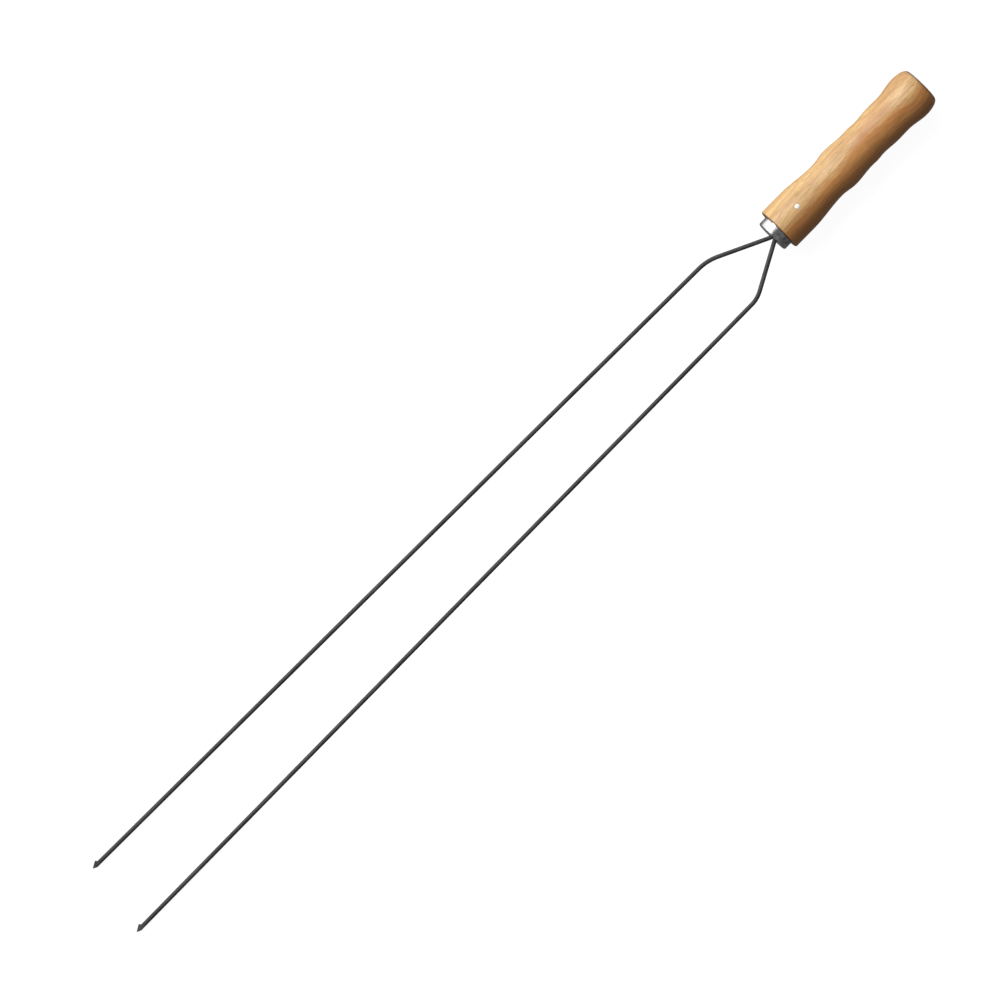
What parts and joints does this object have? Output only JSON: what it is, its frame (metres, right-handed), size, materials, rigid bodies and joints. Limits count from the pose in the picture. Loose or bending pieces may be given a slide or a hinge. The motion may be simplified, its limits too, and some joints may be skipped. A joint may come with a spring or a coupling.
{
  "type": "roasting fork",
  "caption": "Long roasting fork: a turned wooden handle with a steel ferrule and a folded steel wire that spreads into parallel barbed prongs.",
  "frame": {"origin": "centre of the flat face at the butt of the handle, on the handle's axis", "axes": "+X from the butt along the handle to the points of the prongs, +Y to the holder's left across the prongs, +Z square to the plane of the prongs, on the side of the pin's head"},
  "size_m": [0.766, 0.0549, 0.0332],
  "materials": {
    "beech": "turned beech with a satin oil finish",
    "polished_steel": "polished drawn steel",
    "wire_steel": "dark drawn spring wire, satin",
    "pin_steel": "bright nail steel"
  },
  "bodies": {
    "root": {"handle": "beech", "ferrule": "polished_steel", "fork_wire": "wire_steel", "cross_pin": "pin_steel"}
  },
  "joints": []
}
